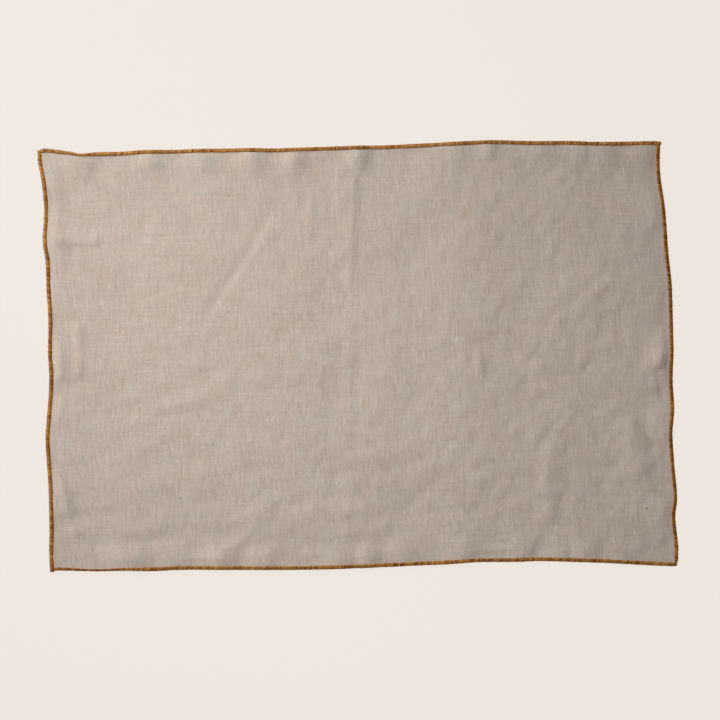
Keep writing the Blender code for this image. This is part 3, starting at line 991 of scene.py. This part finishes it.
@dataclass
class OverlockRun:
    """One run of overlocked edging: thread wound over the cut edge, stitch after stitch."""

    lay: Lay
    side: Side
    past_start: float
    past_end: float
    seed: int
    pinches: tuple[Pinch, ...] = ()
    end_sizes: tuple[float, float] = (0.7, 0.7)
    inside: float = 0.0021
    outside: float = 0.00112
    pitch: float = 0.0014
    height: float = 0.0023
    crest: float = -0.0011
    arch_radius: float = 0.0036
    shoulder: float = 0.2
    thread_thickness: float = 0.00048
    thread_width: float = 0.00125
    slant: float = 0.001
    roll_angle: float = 9.0
    roll_length: float = 0.012
    taper_length: float = 0.0016
    turns: int = 18
    facets: int = 6
    place_spread: float = 0.12
    size_spread: float = 0.06
    lean_spread: float = 0.3
    # Mean tone of the run's stitches; it differs run by run as painted light and shade.
    tone: float = 0.58
    tone_spread: float = 0.33
    lightest: float = 1.4
    core: Core = Core()

    @property
    def name(self) -> str:
        """The CAD node's name."""
        return f"edging_{self.side.place.value}"

    def uv_on_panel(self, share: np.ndarray) -> tuple[np.ndarray, np.ndarray]:
        """The panel's (u, v) at shares of the way along the side."""
        one = np.ones_like(share)
        return {
            Place.TOP: (share, one),
            Place.RIGHT: (one, 1.0 - share),
            Place.BOTTOM: (1.0 - share, 0.0 * one),
            Place.LEFT: (0.0 * one, share),
        }[self.side.place]

    def foot(self, at: np.ndarray) -> np.ndarray:
        """Positions on the cut edge, at the height of the edging's foot."""
        share = at / self.side.length
        return np.column_stack([self.side.point(share), self.lay.slack(*self.uv_on_panel(share))])

    def path(self, at: np.ndarray) -> tuple[np.ndarray, np.ndarray, np.ndarray]:
        """The line that the edging follows: the cut edge, and straight on past its corners.

        Args:
            at: distances along the side.

        Returns:
            Positions at the foot of the edging, directions along the side, and outward directions.
        """
        step = 0.0005
        inner = np.clip(at, step, self.side.length - step)
        along = self.foot(inner + step) - self.foot(inner - step)
        along /= np.linalg.norm(along, axis=1, keepdims=True)
        outward = np.column_stack([-along[:, 1], along[:, 0], np.zeros(len(at))])
        outward /= np.linalg.norm(outward, axis=1, keepdims=True)
        return self.foot(inner) + (at - inner)[:, None] * along, along, outward

    def roll_at(self, at: np.ndarray) -> np.ndarray:
        """How far the edging has rolled outwards, in radians, at distances along the side."""
        step = self.roll_length
        knots = np.arange(-step, self.side.length + 2.0 * step, step)
        turns = np.random.default_rng(self.seed + 100).standard_normal(len(knots)).clip(-2.0, 2.0)
        return math.radians(self.roll_angle) * np.interp(at, knots, turns)

    def lay_out(self, at: np.ndarray, section: np.ndarray, size: np.ndarray) -> np.ndarray:
        """Puts copies of a shape along the edging, rolled a little one way or the other.

        Args:
            at: the distance along the side of each copy.
            section: the shape's points, as (along, outward, up) about the cut edge, for each copy.
            size: how large each copy is.

        Returns:
            The points of every copy.
        """
        places, along, outward = self.path(at)
        narrowed = np.ones_like(at)
        for pinch in self.pinches:
            narrowed *= 1.0 - (1.0 - pinch.share) * bump((at - pinch.at) / pinch.half_width)
        middle = (self.outside - 0.5 * (self.outside + self.inside) * narrowed)[:, None]
        roll = self.roll_at(at)[:, None]
        out = (section[..., 1] - 0.5 * (self.outside - self.inside)) * (narrowed * size)[:, None]
        rise = (section[..., 2] - 0.5 * self.height) * size[:, None]
        cos, sin = np.cos(roll), np.sin(roll)
        out, rise = out * cos + rise * sin, rise * cos - out * sin
        rise = rise + np.maximum(0.5 * self.height, -rise.min(axis=1, keepdims=True))
        return (
            places[:, None]
            + section[..., 0, None] * along[:, None]
            + (middle + out)[..., None] * outward[:, None]
            + rise[..., None] * np.array((0.0, 0.0, 1.0))
        )

    def ring(self, turn: np.ndarray) -> np.ndarray:
        """The middle line of a stitch: a low arch over the cut edge, and flat under it.

        Args:
            turn: angles, from 0 outside the cut edge to a quarter turn on top.

        Returns:
            Pairs of outward offset and height above the edging's foot.
        """
        middle = 0.5 * (self.outside - self.inside)
        reach = 0.5 * (self.outside + self.inside - self.thread_thickness)
        crown = 0.5 * (self.height - self.thread_thickness)
        out = middle + reach * np.cos(turn)
        rise = np.sin(turn)
        drop = np.where(rise > 0.0, (out - self.crest) ** 2 / (2.0 * self.arch_radius), 0.0)
        up = 0.5 * self.height + (np.sign(rise) * crown - drop) * np.abs(rise) ** self.shoulder
        return np.stack([out, up], axis=-1)

    def stitch(self) -> tuple[np.ndarray, np.ndarray, np.ndarray]:
        """One stitch: a flattened ring of thread, modelled from a torus.

        Returns:
            Its points as (along, outward, up) about the cut edge, its faces, and its map.
        """
        thin, step = 0.25, 0.1  # the plain ring's thickness, and the turn that shows its direction
        bpy.ops.object.select_all(action="DESELECT")
        bpy.ops.mesh.primitive_torus_add(
            major_segments=self.turns,
            minor_segments=self.facets,
            major_radius=1.0,
            minor_radius=thin,
        )
        ring = bpy.context.active_object
        mesh = ring.data
        flat = np.empty(len(mesh.vertices) * 3)
        mesh.vertices.foreach_get("co", flat)
        flat = flat.reshape(-1, 3)
        turn = np.arctan2(flat[:, 1], flat[:, 0])
        rise = (np.hypot(flat[:, 0], flat[:, 1]) - 1.0) / thin * 0.5 * self.thread_thickness
        sideways = flat[:, 2] / thin * 0.5 * self.thread_width
        ahead = self.ring(turn + step) - self.ring(turn - step)
        away = np.stack([ahead[:, 1], -ahead[:, 0]], axis=-1)
        away /= np.linalg.norm(away, axis=1, keepdims=True)
        points = np.column_stack([sideways, self.ring(turn) + rise[:, None] * away])
        faces = np.array([face.vertices[:] for face in mesh.polygons])
        uv = np.empty(len(mesh.loops) * 2)
        mesh.uv_layers[0].data.foreach_get("uv", uv)
        bpy.data.objects.remove(ring)
        return points, faces, uv.reshape(-1, 2)

    def stitches(self) -> Strands:
        """All the stitches of the run, each with its own size, lean and tone."""
        rng = np.random.default_rng(self.seed)
        points, faces, uv = self.stitch()
        inset = 0.5 * self.thread_width
        first, last = inset - self.past_start, self.side.length + self.past_end - inset
        at = np.arange(first, last, self.pitch)
        count = len(at)
        at = at + self.place_spread * self.pitch * rng.standard_normal(count).clip(-2.0, 2.0)
        size = 1.0 + self.size_spread * rng.standard_normal(count).clip(-1.5, 1.0)
        lean = 1.0 + self.lean_spread * rng.standard_normal(count).clip(-2.0, 2.0)
        for from_end, end_size in zip((at - first, last - at), self.end_sizes):
            near_end = bump(np.maximum(from_end, 0.0) / self.taper_length)
            size *= 1.0 - (1.0 - end_size) * near_end
            lean *= 1.0 - near_end
        section = np.repeat(points[None], count, axis=0)
        from_middle = section[..., 1] - 0.5 * (self.outside - self.inside)
        section[..., 0] += lean[:, None] * self.slant * from_middle / (self.outside + self.inside)
        world = self.lay_out(at, section, size)
        tone = (self.tone + self.tone_spread * rng.standard_normal(count)).clip(0.0, self.lightest)
        # A pinch with a tone below zero paints shade on its stitches.
        for pinch in self.pinches:
            tone += pinch.tone * bump((at - pinch.at) / pinch.half_width)
        return Strands(
            points=world.reshape(-1, 3),
            faces=(faces[None] + (np.arange(count) * len(points))[:, None, None]).reshape(-1, 4),
            uv=np.tile(uv, (count, 1)),
            tone=np.repeat(tone, len(points)),
        )

    def core_profile(self) -> np.ndarray:
        """The core's section, out along its foot, back over its top, and round the slot."""
        core = self.core
        inner, outer = core.inset - self.inside, self.outside - core.inset
        low, high = self.height * core.low_share, self.height * core.high_share
        turn = core.top_share * outer
        outs = (inner, core.middle, turn, outer, outer, turn, core.middle, inner)
        drops = [(out - self.crest) ** 2 / (2.0 * self.arch_radius) for out in outs[5:]]
        tops = [self.height - core.inset - drop for drop in drops]
        slot_outs = (inner, core.middle, *(core.slot_end,) * 4, core.middle, inner)
        slot_ups = (*(core.slot_foot,) * 3, low, high, *(core.slot_top,) * 3)
        outline = zip(outs, (*(core.foot,) * 3, low, high, *tops))
        slot = reversed(tuple(zip(slot_outs, slot_ups)))
        return np.array([(0.0, *pair) for pair in (*outline, *slot)])

    def packing(self) -> Strands:
        """The core, drawn along the side, with its ends closed."""
        core, profile = self.core, self.core_profile()
        start = core.from_end - self.past_start
        end = self.side.length + self.past_end - core.from_end
        at = np.linspace(start, end, round((end - start) / core.spacing))
        rows, columns = len(at), len(profile)
        size = np.ones(rows)
        size[[0, -1]] = core.end_size
        world = self.lay_out(at, np.repeat(profile[None], rows, axis=0), size)
        row, column = np.meshgrid(np.arange(rows - 1), np.arange(columns), indexing="ij")
        after = (column + 1) % columns
        low, high = row * columns, (row + 1) * columns
        faces = np.stack([low + column, high + column, high + after, low + after], axis=-1)
        faces = faces.reshape(-1, 4)
        uv = np.stack([faces // columns, faces % columns], axis=-1) * core.map_step
        last = columns - 1
        caps = np.array([(k, k + 1, last - 1 - k, last - k) for k in range(columns // 2 - 1)])
        caps = np.vstack([caps, caps[:, ::-1] + (rows - 1) * columns])
        return Strands(
            points=world.reshape(-1, 3),
            faces=np.vstack([faces, caps]),
            uv=np.concatenate([uv.reshape(-1, 2), np.zeros((4 * len(caps), 2))]),
            # The core's low tone is painted shade between the stitches.
            tone=np.full(rows * columns, core.tone),
        )

    def build(self, finish: bpy.types.Material) -> bpy.types.Object:
        """Winds the thread along the side.

        Args:
            finish: the thread's material.

        Returns:
            The finished piece.
        """
        run = self.stitches().joined(self.packing()).build(f"{self.name}_thread")
        run.data.materials.append(finish)
        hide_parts(self.name)
        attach(run, BODY)
        return run


# --- surroundings -----------------------------------------


@dataclass(frozen=True)
class Table:
    """The plain pale surface under the mat."""

    half_size: float = 3.0

    def build(self, finish: bpy.types.Material) -> bpy.types.Object:
        """Makes the table."""
        bpy.ops.object.select_all(action="DESELECT")
        bpy.ops.mesh.primitive_plane_add(size=2.0 * self.half_size, location=(0.0, 0.0, 0.0))
        table = bpy.context.active_object
        table.name = "pale_table"
        table.data.materials.append(finish)
        return table


@dataclass(frozen=True)
class Softbox:
    """A large soft lamp with a grid on it, so that its light falls off around the place it is aimed at."""

    name: str = "key_softbox"
    side_angle: float = 35.0
    height_angle: float = 30.0
    distance: float = 0.9
    target: tuple[float, float, float] = (-0.052, -0.012, 0.0)
    size: float = 0.75
    beam: float = 68.0
    power: float = 3.26
    colour: tuple[float, float, float] = (1.0, 1.0, 1.0)

    def build(self) -> bpy.types.Object:
        """Makes the lamp."""
        light = bpy.data.lights.new(self.name, "AREA")
        light.shape = "SQUARE"
        light.size = self.size
        light.energy = self.power
        light.color = self.colour
        light.spread = math.radians(self.beam)
        side, rise = math.radians(self.side_angle), math.radians(self.height_angle)
        flat = self.distance * math.cos(rise)
        place = Vector((-flat * math.cos(side), flat * math.sin(side), self.distance * math.sin(rise)))
        lamp = bpy.data.objects.new(self.name, light)
        lamp.location = place
        lamp.rotation_euler = (Vector(self.target) - place).to_track_quat("-Z", "Y").to_euler()
        bpy.context.scene.collection.objects.link(lamp)
        return lamp


@dataclass(frozen=True)
class OverheadCamera:
    """The camera that looks straight down on the mat."""

    lens: float = 85.0
    sensor: float = 36.0
    frame_width: float = 0.5568
    target: tuple[float, float] = (0.00161, -0.00337)

    def build(self) -> bpy.types.Object:
        """Makes the camera and gives it to the scene."""
        data = bpy.data.cameras.new("overhead_camera")
        data.lens = self.lens
        data.sensor_width = self.sensor
        camera = bpy.data.objects.new("overhead_camera", data)
        camera.location = (*self.target, self.frame_width * self.lens / self.sensor)
        bpy.context.scene.collection.objects.link(camera)
        bpy.context.scene.camera = camera
        return camera


@dataclass(frozen=True)
class Studio:
    """The even, faintly warm surround."""

    colour: tuple[float, float, float] = (1.0, 0.985, 0.965)
    strength: float = 0.185

    def build(self) -> None:
        """Gives the scene its surround, and shows colours as they are."""
        world = bpy.data.worlds.new("studio")
        world.use_nodes = True
        background = world.node_tree.nodes["Background"]
        background.inputs["Color"].default_value = (*self.colour, 1.0)
        background.inputs["Strength"].default_value = self.strength
        bpy.context.scene.world = world
        bpy.context.scene.view_settings.view_transform = "Standard"


def edging_runs(lay: Lay) -> tuple[OverlockRun, ...]:
    """The four runs of edging. At each corner one of them goes past, and the other stops clear of it.

    Args:
        lay: the way the panel lies.

    Returns:
        The runs, clockwise from the top.
    """
    clear = -0.0013
    tight = Pinch(at=0.032, half_width=0.018, share=0.72, tone=0.0)
    # The turned stretch near the lower left corner is painted darker, as painted shade where that edging
    # lies in shadow.
    turned = Pinch(at=0.45, half_width=0.05, share=0.6, tone=-0.5)
    # The runs are one thread; their tones differ run by run as painted light and shade, lightest on the
    # top run and darkest on the left one.
    return (
        OverlockRun(
            lay, TOP, past_start=0.0014, past_end=0.0021, seed=11, pinches=(tight,),
            end_sizes=(0.95, 1.15), inside=0.0022, tone=0.62,
        ),
        OverlockRun(
            lay, RIGHT, past_start=clear, past_end=clear, seed=12,
            end_sizes=(1.1, 0.8), inside=0.0023, crest=-0.0016, tone=0.56,
        ),
        OverlockRun(
            lay, BOTTOM, past_start=0.0006, past_end=clear, seed=13, pinches=(turned,),
            end_sizes=(0.6, 0.9), inside=0.00225, tone=0.55,
        ),
        OverlockRun(
            lay, LEFT, past_start=0.0018, past_end=clear, seed=14,
            end_sizes=(0.95, 0.95), inside=0.0023, tone=0.52,
        ),
    )


def main() -> None:
    """Builds the mat, piece by piece, and its surroundings."""
    logging.basicConfig(level=logging.INFO, format="%(name)s: %(message)s")
    OverheadCamera().build()
    Softbox().build()
    Studio().build()
    Table().build(TableFinish().build())
    lay = Lay(TOP, RIGHT, BOTTOM, LEFT, FOLDS, CREASES, CRUMPLES)
    sheet = LinenPanel(lay).build(LinenFinish().build())
    LOG.info("%s: %d faces", sheet.name, len(sheet.data.polygons))
    thread = ThreadFinish().build()
    edgings = [run.build(thread) for run in edging_runs(lay)]
    for edging in edgings:
        LOG.info("%s: %d faces", edging.name, len(edging.data.polygons))
    lay.width
    lay.length


if __name__ == "__main__":
    main()
